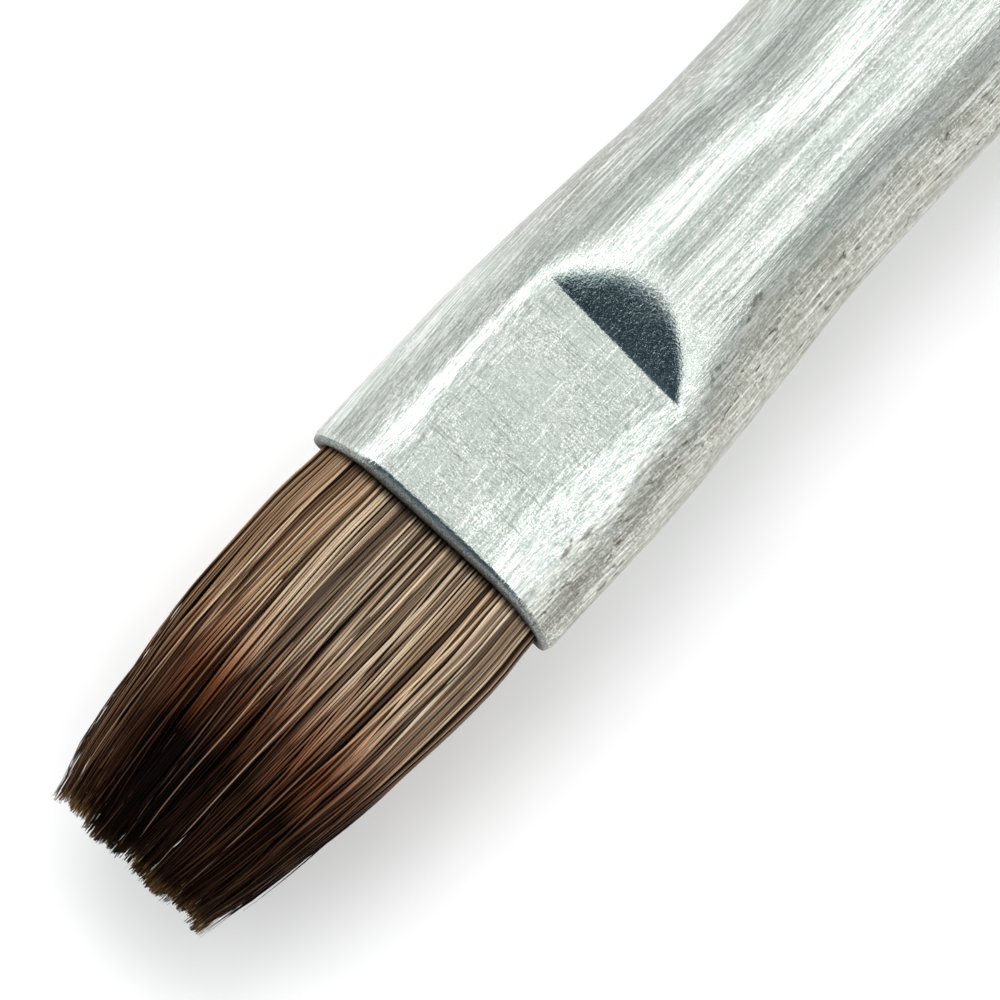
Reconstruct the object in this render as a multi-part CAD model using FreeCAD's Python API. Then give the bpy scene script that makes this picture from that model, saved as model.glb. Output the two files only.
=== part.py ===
import FreeCAD, Part
import math
import os

# A flat artist's brush for model making, lying along the X axis.
# Frame: the origin is on the brush's axis, at the middle of the round land behind the ferrule.
# +X runs along the axis to the handle's tail, -X to the hair's tip, +Z is up from the flat face.
# All sizes are in millimetres.

OUT_DIR = "parts"
AXIS_X = FreeCAD.Vector(1, 0, 0)
WIDE = 20.0  # larger than any cross-section: the size of cutting blocks
SAME_PLACE = 1e-6  # points nearer than this are one point

# ---- Handle -------------------------------------------------------------------------------
LAND_RADIUS = 3.7          # the round land that a protective tube slides on to
LAND_LENGTH = 6.0
SHOULDER_LENGTH = 1.5      # from the ferrule's rear edge up to the land
SHOULDER_RADIUS = 3.15     # where the handle meets the ferrule's rear edge
COAT = 0.2                 # thickness of the lacquer
DIP_COAT = 0.08            # thickness of the second coat on the tail
DIP_LENGTH = 20.0
# X, mean radius and corner share of the three-cornered grip: 0 is round, 0.1 has flat faces
GRIP_SECTIONS = (
    (LAND_LENGTH / 2 - 1.0, 3.45, 0.0),
    (LAND_LENGTH / 2 + 3.0, 3.82, 0.04),
    (20.0, 4.25, 0.1),
    (42.0, 4.0, 0.1),
    (72.0, 3.0, 0.07),
)
TAIL_X = 110.0
TAIL_RADIUS = 2.1
TAIL_ANGLES = (0.0, 35.0, 60.0, 80.0)  # sections of the ball that rounds the tail, degrees
TAIL_RUN = 12.0            # length of the round, nearly straight part in front of the ball
GRIP_CORNERS = 3
SECTION_POINTS = 36        # points on each closed section curve

# ---- Ferrule ------------------------------------------------------------------------------
FERRULE_LENGTH = 26.0
FERRULE_REAR_X = -(LAND_LENGTH / 2 + SHOULDER_LENGTH)
MOUTH_X = FERRULE_REAR_X - FERRULE_LENGTH
WALL = 0.28
TUBE_RADIUS = 3.06         # the round rear of the ferrule
ROUND_FROM = 11.0          # behind this distance from the mouth the ferrule is a round tube
OVERRUN = 1.0              # extra length of a blank, cut off again at the mouth or the rear edge
# Distance behind the mouth, half width and half height of the oval blank before it is flattened
FERRULE_OVALS = (
    (-OVERRUN, 3.52, 1.56),
    (3.0, 3.52, 2.30),
    (6.1, 3.40, 2.87),
    (8.0, 3.27, 3.02),
    (ROUND_FROM, TUBE_RADIUS, TUBE_RADIUS),
)
# Distance behind the mouth and half height of the pressed faces: the long flat, then the half-moon
FERRULE_FLATS = ((-OVERRUN, 1.244), (5.7, 2.289), (7.0, 3.017), (ROUND_FROM, 5.257))
CRIMP_CENTRES = (18.5, 22.0)  # distance behind the mouth
CRIMP_WIDTH = 1.4
CRIMP_DEPTH = 0.22

# ---- Inside the ferrule -------------------------------------------------------------------
TENON_LENGTH = 11.0
GLUE_GAP = 0.08
CEMENT_FRONT = 4.8         # distances behind the mouth
CEMENT_REAR = 10.2
BUTT_REAR = 9.2
BUTT_OVALS = ((CEMENT_FRONT, 2.90, 1.70), (BUTT_REAR, 2.35, 1.90))
THREAD_RADIUS = 0.12
THREAD_WRAPS = 4
THREAD_START = 7.0
THREAD_PITCH = 0.3

# ---- Hair ---------------------------------------------------------------------------------
TUFT_LENGTH = 9.8
# Distance in front of the mouth, half width and half height of the oval blank, half thickness
TUFT_SECTIONS = (
    (0.0, 3.25, 1.45, 1.13),
    (2.5, 3.22, 1.45, 1.15),
    (4.5, 3.13, 1.30, 1.05),
    (6.6, 2.88, 1.05, 0.82),
    (8.4, 2.57, 0.80, 0.58),
    (TUFT_LENGTH, 2.25, 0.60, 0.40),
)
COVER_SHARE = 0.40         # the belly hair fills this share of the half thickness
FLEX_PIVOT = 1.25          # distance in front of the mouth of the cross pivot that the tuft bends on
FLEX_RADIUS = 1.15         # the moving hair ends in this radius about the cross pivot
COLLAR_OUT = 0.05          # the fixed hair stands this far out of the mouth
SPLAY_PIVOT = 5.0          # distance in front of the mouth of the upright pivots of the locks
LOCK_NAMES = ("lock_far_left", "lock_left", "lock_middle", "lock_right", "lock_far_right")
LOCK_GAP = 0.06            # between neighbouring locks, and between a lock and the root hair
EDGE_ALLOWANCE = 1.15      # the outer locks' cutting shapes reach this much past the tuft's sides


def behind_mouth(distance):
    """X of a place in or on the ferrule, measured back from its mouth."""
    return MOUTH_X + distance


def ahead_of_mouth(distance):
    """X of a place on the free hair, measured forward from the ferrule's mouth."""
    return MOUTH_X - distance


def block(x_low, x_high, z_low=-WIDE, z_high=WIDE):
    """A wide block between two planes across the axis."""
    corner = FreeCAD.Vector(x_low, -WIDE, z_low)
    return Part.makeBox(x_high - x_low, 2 * WIDE, z_high - z_low, corner)


def side_prism(points):
    """A block whose outline in side view is the given (x, z) polygon."""
    corners = [FreeCAD.Vector(x, -WIDE, z) for x, z in points]
    outline = Part.makePolygon(corners + corners[:1])
    return Part.Face(outline).extrude(FreeCAD.Vector(0, 2 * WIDE, 0))


def oval_edge(x, half_width, half_height):
    """An ellipse across the axis at x."""
    centre = FreeCAD.Vector(x, 0, 0)
    side = FreeCAD.Vector(x, half_width, 0)
    top = FreeCAD.Vector(x, 0, half_height)
    return Part.Ellipse(side, top, centre).toShape()


def oval_loft(ovals):
    """A smooth solid through ellipses given as (x, half width, half height)."""
    wires = [Part.Wire([oval_edge(*oval)]) for oval in ovals]
    return Part.makeLoft(wires, True)


def pressed_slab(flats):
    """The space between two mirrored pressed faces given as (x, half height)."""
    upper = list(flats)
    lower = [(x, -half_height) for x, half_height in reversed(upper)]
    return side_prism(upper + lower)


def turned(edges):
    """A solid of revolution about the X axis under a chain of edges in the XZ plane."""
    chain = Part.Wire(edges)
    first = chain.OrderedVertexes[0].Point
    last = chain.OrderedVertexes[-1].Point
    corners = [last, FreeCAD.Vector(last.x, 0, 0), FreeCAD.Vector(first.x, 0, 0), first]
    closing = []
    for start, end in zip(corners[:-1], corners[1:]):
        if start.distanceToPoint(end) > SAME_PLACE:
            closing.append(Part.LineSegment(start, end).toShape())
    face = Part.Face(Part.Wire(chain.Edges + closing))
    return face.revolve(FreeCAD.Vector(0, 0, 0), AXIS_X, 360)


# ---- Ferrule ------------------------------------------------------------------------------
def crimped_edges(radius, start, end):
    """The tube's outline from start to end, behind the mouth, with the rolled crimps."""
    edges = []
    here = FreeCAD.Vector(behind_mouth(start), 0, radius)
    for centre in CRIMP_CENTRES:
        groove_start = FreeCAD.Vector(behind_mouth(centre - CRIMP_WIDTH / 2), 0, radius)
        groove_floor = FreeCAD.Vector(behind_mouth(centre), 0, radius - CRIMP_DEPTH)
        groove_end = FreeCAD.Vector(behind_mouth(centre + CRIMP_WIDTH / 2), 0, radius)
        edges.append(Part.LineSegment(here, groove_start).toShape())
        edges.append(Part.Arc(groove_start, groove_floor, groove_end).toShape())
        here = groove_end
    rear = FreeCAD.Vector(behind_mouth(end), 0, radius)
    edges.append(Part.LineSegment(here, rear).toShape())
    return edges


def ferrule_blank(inset, rear):
    """The ferrule as a filled solid, with every face moved inwards by the inset."""
    ovals = [(behind_mouth(s), a - inset, b - inset) for s, a, b in FERRULE_OVALS]
    flats = [(behind_mouth(s), half_height - inset) for s, half_height in FERRULE_FLATS]
    front = oval_loft(ovals).common(pressed_slab(flats))
    tube = turned(crimped_edges(TUBE_RADIUS - inset, ROUND_FROM, rear))
    return front.fuse(tube).removeSplitter()


def make_ferrule(cavity):
    solid = ferrule_blank(0.0, FERRULE_LENGTH).cut(cavity)
    return solid.common(block(MOUTH_X, FERRULE_REAR_X))


# ---- Handle -------------------------------------------------------------------------------
def grip_wire(x, radius, corner_share):
    """A closed, rounded three-cornered section with one corner up and one face down."""
    points = []
    for step in range(SECTION_POINTS):
        angle = 2 * math.pi * step / SECTION_POINTS
        reach = radius * (1 + corner_share * math.cos(GRIP_CORNERS * (angle - math.pi / 2)))
        points.append(FreeCAD.Vector(x, reach * math.cos(angle), reach * math.sin(angle)))
    curve = Part.BSplineCurve()
    curve.interpolate(Points=points, PeriodicFlag=True)
    return Part.Wire([curve.toShape()])


def handle_solid(inset):
    """The handle from the ferrule's rear edge to the tail, with its surface moved in by the inset."""
    shoulder_start = FreeCAD.Vector(FERRULE_REAR_X, 0, SHOULDER_RADIUS - inset)
    land_front = FreeCAD.Vector(-LAND_LENGTH / 2, 0, LAND_RADIUS - inset)
    land_rear = FreeCAD.Vector(LAND_LENGTH / 2 - inset, 0, LAND_RADIUS - inset)
    shoulder = Part.BSplineCurve()
    shoulder.interpolate(
        Points=[shoulder_start, land_front],
        InitialTangent=FreeCAD.Vector(1, 0, 1),
        FinalTangent=AXIS_X,
    )
    front = turned([shoulder.toShape(), Part.LineSegment(land_front, land_rear).toShape()])
    ball_radius = TAIL_RADIUS - inset
    ball_x = TAIL_X - TAIL_RADIUS
    wires = [grip_wire(x, radius - inset, share) for x, radius, share in GRIP_SECTIONS]
    wires.append(grip_wire(ball_x - TAIL_RUN, ball_radius, 0.0))
    for degrees in TAIL_ANGLES:
        angle = math.radians(degrees)
        x = ball_x + ball_radius * math.sin(angle)
        wires.append(grip_wire(x, ball_radius * math.cos(angle), 0.0))
    return front.fuse(Part.makeLoft(wires, True))


def make_handle():
    """The wooden core, the lacquer, the dipped tail and the glue round the tenon."""
    coated = handle_solid(0.0)
    wood = handle_solid(COAT)
    dipped = handle_solid(-DIP_COAT)
    tenon_front = FERRULE_LENGTH - TENON_LENGTH
    bore_radius = TUBE_RADIUS - WALL
    tenon = turned(crimped_edges(bore_radius - GLUE_GAP, tenon_front, FERRULE_LENGTH))
    bore = turned(crimped_edges(bore_radius, tenon_front, FERRULE_LENGTH))
    return {
        "handle_core": wood.fuse(tenon),
        "handle_lacquer": coated.cut(wood),
        "handle_end_dip": dipped.cut(coated).common(block(TAIL_X - DIP_LENGTH, TAIL_X + WIDE)),
        "tenon_glue": bore.cut(tenon),
    }


# ---- Inside the ferrule -------------------------------------------------------------------
def thread_wrap(x, half_width, half_height):
    """One turn of thread round the hair butts."""
    path = Part.Wire([oval_edge(x, half_width + THREAD_RADIUS, half_height + THREAD_RADIUS)])
    start = FreeCAD.Vector(x, half_width + THREAD_RADIUS, 0)
    ring = Part.Circle(start, FreeCAD.Vector(0, 0, 1), THREAD_RADIUS)
    return path.makePipeShell([Part.Wire([ring.toShape()])], True, True)


def make_fixing(cavity):
    """The hair butts, the thread that ties them, the cement and the hair up to the mouth."""
    butts = oval_loft([(behind_mouth(s), a, b) for s, a, b in BUTT_OVALS])
    (front, front_a, front_b), (rear, rear_a, rear_b) = BUTT_OVALS
    wraps = []
    for turn in range(THREAD_WRAPS):
        place = THREAD_START + turn * THREAD_PITCH
        share = (place - front) / (rear - front)
        half_width = front_a + share * (rear_a - front_a)
        half_height = front_b + share * (rear_b - front_b)
        wraps.append(thread_wrap(behind_mouth(place), half_width, half_height).cut(butts))
    thread = Part.makeCompound(wraps)
    cement = cavity.common(block(behind_mouth(CEMENT_FRONT), behind_mouth(CEMENT_REAR)))
    cement = cement.cut([butts] + wraps)
    mouth_hair = cavity.common(block(ahead_of_mouth(COLLAR_OUT), behind_mouth(CEMENT_FRONT)))
    return {
        "hair_butts": butts,
        "binding_thread": thread,
        "root_cement": cement,
        "mouth_hair": mouth_hair,
    }


# ---- Free hair ----------------------------------------------------------------------------
def tuft_blank():
    """The whole free tuft as one solid."""
    ovals = [(ahead_of_mouth(d), a, b) for d, a, b, _ in TUFT_SECTIONS]
    flats = [(ahead_of_mouth(d), h) for d, _, _, h in TUFT_SECTIONS]
    return oval_loft(ovals).common(pressed_slab(flats))


def half_width_at(distance):
    """The tuft's half width at a distance in front of the mouth."""
    for (d0, a0, _, _), (d1, a1, _, _) in zip(TUFT_SECTIONS[:-1], TUFT_SECTIONS[1:]):
        if distance <= d1:
            return a0 + (a1 - a0) * (distance - d0) / (d1 - d0)
    return TUFT_SECTIONS[-1][1]


def hair_layers():
    """Cutting shapes of the upper cover hair, the belly hair and the lower cover hair."""
    belly = [(ahead_of_mouth(d), h * COVER_SHARE) for d, _, _, h in TUFT_SECTIONS]
    tip_x, root_x = belly[-1][0], belly[0][0]
    above = belly + [(tip_x, WIDE), (root_x, WIDE)]
    below = [(x, -z) for x, z in above]
    return {"top": side_prism(above), "belly": pressed_slab(belly), "bottom": side_prism(below)}


def lock_plan(index):
    """Cutting shape of one lock: a tapered strip, round about its upright pivot."""
    count = len(LOCK_NAMES)
    lines = []
    for distance in (SPLAY_PIVOT, TUFT_LENGTH):
        half = half_width_at(distance)
        low = -half + 2 * half * index / count + LOCK_GAP / 2
        high = -half + 2 * half * (index + 1) / count - LOCK_GAP / 2
        lines.append((ahead_of_mouth(distance), low, high))
    (pivot_x, root_low, root_high), (tip_x, tip_low, tip_high) = lines
    if index == 0:
        tip_low *= EDGE_ALLOWANCE
    if index == count - 1:
        tip_high *= EDGE_ALLOWANCE
    radius = (root_high - root_low) / 2
    root_a = FreeCAD.Vector(pivot_x, root_low, -WIDE)
    root_round = FreeCAD.Vector(pivot_x + radius, (root_low + root_high) / 2, -WIDE)
    root_b = FreeCAD.Vector(pivot_x, root_high, -WIDE)
    tip_a = FreeCAD.Vector(tip_x, tip_low, -WIDE)
    tip_b = FreeCAD.Vector(tip_x, tip_high, -WIDE)
    outline = Part.Wire([
        Part.Arc(root_a, root_round, root_b).toShape(),
        Part.LineSegment(root_b, tip_b).toShape(),
        Part.LineSegment(tip_b, tip_a).toShape(),
        Part.LineSegment(tip_a, root_a).toShape(),
    ])
    return Part.Face(outline).extrude(FreeCAD.Vector(0, 0, 2 * WIDE))


def root_plan():
    """Cutting shape of the root hair: round about the cross pivot, flat towards the locks."""
    pivot_x = ahead_of_mouth(FLEX_PIVOT)
    lock_radius = half_width_at(SPLAY_PIVOT) / len(LOCK_NAMES)
    front_x = ahead_of_mouth(SPLAY_PIVOT) + lock_radius + LOCK_GAP
    knuckle = Part.makeCylinder(
        FLEX_RADIUS, 2 * WIDE, FreeCAD.Vector(pivot_x, -WIDE, 0), FreeCAD.Vector(0, 1, 0)
    )
    return block(front_x, pivot_x).fuse(knuckle)


def make_tuft():
    """The moving hair: three layers at the root, and three layers in each of the locks."""
    tuft = tuft_blank()
    layers = hair_layers()
    root = tuft.common(root_plan())
    nodes = {}
    for layer_name, layer in layers.items():
        nodes["root_" + layer_name] = root.common(layer)
    for index, lock_name in enumerate(LOCK_NAMES):
        lock = tuft.common(lock_plan(index))
        for layer_name, layer in layers.items():
            nodes[lock_name + "_" + layer_name] = lock.common(layer)
    return nodes


def main():
    cavity = ferrule_blank(WALL, FERRULE_LENGTH + OVERRUN)
    nodes = {"ferrule": make_ferrule(cavity)}
    nodes.update(make_handle())
    nodes.update(make_fixing(cavity))
    nodes.update(make_tuft())
    os.makedirs(OUT_DIR, exist_ok=True)
    for name, shape in nodes.items():
        shape.exportStep(os.path.join(OUT_DIR, name + ".step"))
        sizes = [round(value, 3) for value in (shape.Volume, len(shape.Solids))]
        print(name, "volume and solids", sizes, "valid", shape.isValid())


main()
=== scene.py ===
import math
import random

import bpy
import numpy as np
from mathutils import Matrix, Vector


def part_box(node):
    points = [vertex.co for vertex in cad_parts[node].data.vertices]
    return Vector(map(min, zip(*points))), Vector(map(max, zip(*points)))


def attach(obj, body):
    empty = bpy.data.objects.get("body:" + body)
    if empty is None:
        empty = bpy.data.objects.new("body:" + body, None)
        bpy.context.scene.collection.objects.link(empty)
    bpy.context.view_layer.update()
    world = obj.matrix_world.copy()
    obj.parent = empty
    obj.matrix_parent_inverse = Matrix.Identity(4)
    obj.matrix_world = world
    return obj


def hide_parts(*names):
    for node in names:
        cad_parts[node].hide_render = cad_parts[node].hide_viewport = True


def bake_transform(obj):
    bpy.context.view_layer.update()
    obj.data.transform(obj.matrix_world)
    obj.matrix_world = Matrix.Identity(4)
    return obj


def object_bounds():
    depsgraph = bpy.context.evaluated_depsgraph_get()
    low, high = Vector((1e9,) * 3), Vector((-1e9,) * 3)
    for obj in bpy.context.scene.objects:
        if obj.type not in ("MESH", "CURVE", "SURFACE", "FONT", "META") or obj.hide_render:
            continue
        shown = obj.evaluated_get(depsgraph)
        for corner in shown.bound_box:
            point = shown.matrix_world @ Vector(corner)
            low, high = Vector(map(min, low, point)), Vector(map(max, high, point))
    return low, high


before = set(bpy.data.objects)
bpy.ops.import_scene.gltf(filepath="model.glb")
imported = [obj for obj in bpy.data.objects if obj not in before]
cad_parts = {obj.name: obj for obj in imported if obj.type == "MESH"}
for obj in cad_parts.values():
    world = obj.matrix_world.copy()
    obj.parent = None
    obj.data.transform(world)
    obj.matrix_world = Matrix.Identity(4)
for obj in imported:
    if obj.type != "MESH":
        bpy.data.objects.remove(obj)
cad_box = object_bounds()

# A flat hobby brush. Its axis is X, the hair points to -X, +Z is up from the flat face of the
# ferrule. Blender works in metres; the sizes below are in millimetres and go through MM.
MM = 0.001
SEED = 384

# Places taken from the frame
MOUTH_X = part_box("ferrule")[0].x
FERRULE_REAR_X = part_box("ferrule")[1].x
TIP_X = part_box("lock_middle_belly")[0].x
FLOOR_Z = cad_box[0][2]
TUFT_LENGTH = (MOUTH_X - TIP_X) / MM
FERRULE_LENGTH = (FERRULE_REAR_X - MOUTH_X) / MM

# ---- Small numeric helpers ----------------------------------------------------------------


def smooth_step(low, high, value):
    """0 below low, 1 above high, with soft ends."""
    share = np.clip((value - low) / (high - low), 0.0, 1.0)
    return share * share * (3.0 - 2.0 * share)


def soft_min(a, b, radius):
    """The smaller of a and b, with the corner between them rounded."""
    share = np.clip(0.5 + 0.5 * (b - a) / radius, 0.0, 1.0)
    return b + (a - b) * share - radius * share * (1.0 - share)


def smooth_table(points, value):
    """A smooth curve through (position, size) points that never overshoots them."""
    places, sizes = np.array(points).T
    rises = np.diff(sizes) / np.diff(places)
    before, after = rises[:-1], rises[1:]
    same_way = before * after > 0
    total = np.where(same_way, before + after, 1.0)
    slopes = np.zeros(len(places))
    slopes[1:-1] = np.where(same_way, 2 * before * after / total, 0.0)
    value = np.clip(value, places[0], places[-1])
    span = np.clip(np.searchsorted(places, value, side="right") - 1, 0, len(places) - 2)
    step = places[span + 1] - places[span]
    t = (value - places[span]) / step
    return (
        (2 * t**3 - 3 * t**2 + 1) * sizes[span]
        + (t**3 - 2 * t**2 + t) * step * slopes[span]
        + (3 * t**2 - 2 * t**3) * sizes[span + 1]
        + (t**3 - t**2) * step * slopes[span + 1]
    )


def new_mesh_object(name, vertices, faces, material, smooth=True):
    """A mesh object in metres from millimetre vertices."""
    mesh = bpy.data.meshes.new(name)
    mesh.from_pydata((np.asarray(vertices) * MM).tolist(), [], faces)
    mesh.validate()
    mesh.materials.append(material)
    if smooth:
        mesh.polygons.foreach_set("use_smooth", [True] * len(mesh.polygons))
    piece = bpy.data.objects.new(name, mesh)
    bpy.context.scene.collection.objects.link(piece)
    return piece


# ---- Node trees ---------------------------------------------------------------------------
class NodeTree:
    """Short ways to add nodes to a tree. A value may be a number, a colour or a socket."""

    def __init__(self, tree):
        self.nodes = tree.nodes
        self.links = tree.links

    def add(self, kind, inputs=None, **settings):
        made = self.nodes.new("ShaderNode" + kind)
        for name, value in settings.items():
            setattr(made, name, value)
        for socket, value in (inputs or {}).items():
            if isinstance(value, bpy.types.NodeSocket):
                self.links.new(value, made.inputs[socket])
            else:
                made.inputs[socket].default_value = value
        return made

    def coordinates(self, scale=(1, 1, 1), rotation=(0, 0, 0)):
        """Object coordinates in millimetres, stretched by the scale."""
        place = self.add("TexCoord").outputs["Object"]
        size = tuple(s / MM for s in scale)
        inputs = {"Vector": place, "Scale": size, "Rotation": rotation}
        return self.add("Mapping", inputs).outputs["Vector"]

    def noise(self, vector, scale, detail=3.0, roughness=0.5, distortion=0.0):
        made = self.add(
            "TexNoise",
            {"Vector": vector, "Scale": scale, "Detail": detail, "Roughness": roughness,
             "Distortion": distortion},
        )
        return made.outputs["Fac"]

    def attribute(self, name):
        return self.add("Attribute", attribute_name=name).outputs["Fac"]

    def ramp(self, factor, stops, interpolation="LINEAR"):
        made = self.add("ValToRGB", {"Fac": factor})
        ramp = made.color_ramp
        ramp.interpolation = interpolation
        while len(ramp.elements) < len(stops):
            ramp.elements.new(0.5)
        for element, (place, colour) in zip(ramp.elements, stops):
            element.position = place
            element.color = (*colour, 1.0)
        return made.outputs["Color"]

    def math(self, operation, a, b=0.0, c=0.0, clamp=False):
        made = self.add("Math", operation=operation, use_clamp=clamp)
        for socket, value in zip(made.inputs, (a, b, c)):
            if isinstance(value, bpy.types.NodeSocket):
                self.links.new(value, socket)
            else:
                socket.default_value = value
        return made.outputs[0]

    def span(self, value, low, high, to_low=0.0, to_high=1.0):
        """The value's place between low and high, from to_low to to_high."""
        inputs = {"Value": value, "From Min": low, "From Max": high, "To Min": to_low,
                  "To Max": to_high}
        return self.add("MapRange", inputs).outputs["Result"]

    def mix(self, factor, a, b, blend_type="MIX"):
        made = self.add("Mix", data_type="RGBA", blend_type=blend_type)
        for socket, value in zip((made.inputs[0], made.inputs[6], made.inputs[7]), (factor, a, b)):
            if isinstance(value, bpy.types.NodeSocket):
                self.links.new(value, socket)
            elif isinstance(value, (int, float)):
                socket.default_value = value
            else:
                socket.default_value = (*value, 1.0)
        return made.outputs[2]

    def bump(self, height, distance, strength=1.0, normal=None):
        inputs = {"Height": height, "Distance": distance * MM, "Strength": strength}
        if normal is not None:
            inputs["Normal"] = normal
        return self.add("Bump", inputs).outputs["Normal"]

    def product(self, a, b, clamp=False):
        return self.math("MULTIPLY", a, b, clamp=clamp)


class Shader(NodeTree):
    """A material built round one Principled BSDF."""

    def __init__(self, name, **settings):
        self.material = bpy.data.materials.new(name)
        self.material.use_nodes = True
        super().__init__(self.material.node_tree)
        self.surface = self.nodes["Principled BSDF"]
        for socket, value in settings.items():
            self.surface.inputs[socket.replace("_", " ")].default_value = value

    def join(self, **sockets):
        """Link the outputs to the shader's sockets and give back the finished material."""
        for name, output in sockets.items():
            self.links.new(output, self.surface.inputs[name.replace("_", " ")])
        return self.material


def grey(value):
    return (value, value, value)


# ---- Materials ----------------------------------------------------------------------------

def ferrule_zones(shader, place):
    """Shares of the ferrule's areas: the round tube, the half-moons, and the two sides, worn in
    patches; the left side's share also carries painted shade.
    """
    x, y = shader.add("SeparateXYZ", {"Vector": place}).outputs[:2]
    mouth = MOUTH_X / MM
    across = shader.math("ABSOLUTE", y)
    tube = shader.span(x, mouth + 5.0, mouth + 7.5)
    moon = shader.product(
        shader.span(x, mouth + 5.6, mouth + 5.8), shader.span(x, mouth + 7.5, mouth + 6.8)
    )
    moon = shader.product(moon, shader.span(across, 2.3, 1.8))
    wander = shader.noise(shader.coordinates((1.1, 0.4, 0.4)), 1.0, 4.0, 0.6)
    wander = shader.span(wander, 0.0, 1.0, -0.5, 0.5)
    edge_of_right = shader.span(x, mouth + 6.2, mouth + 8.0, 2.45, 1.90)
    past_edge = shader.math("SUBTRACT", wander, y)
    past_edge = shader.math("SUBTRACT", past_edge, edge_of_right)
    right = shader.span(past_edge, -0.10, 0.45)
    left = shader.product(shader.span(y, 2.1, 2.8), shader.span(tube, 0.0, 1.0, 0.15, 1.0))
    return {
        "across": across,
        "tube": tube,
        "moon": moon,
        "past_edge": past_edge,
        "left": left,
        "right": right,
        "sides": shader.math("MAXIMUM", left, right),
    }


def drawing_lines(shader, zones):
    """Fine dark and light lines along the drawn tube and beside the pressed flat."""
    lines = shader.noise(shader.coordinates((0.35, 15.0, 15.0)), 1.0, 3.0, 0.65)
    share = shader.math("MAXIMUM", zones["tube"], shader.span(zones["across"], 1.15, 1.5))
    share = shader.product(share, shader.span(zones["moon"], 1.0, 0.0))
    dark = shader.product(shader.span(lines, 0.52, 0.64, 0.0, 0.55), share)
    light = shader.product(shader.span(lines, 0.48, 0.38, 0.0, 0.55), share)
    return dark, light


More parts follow.
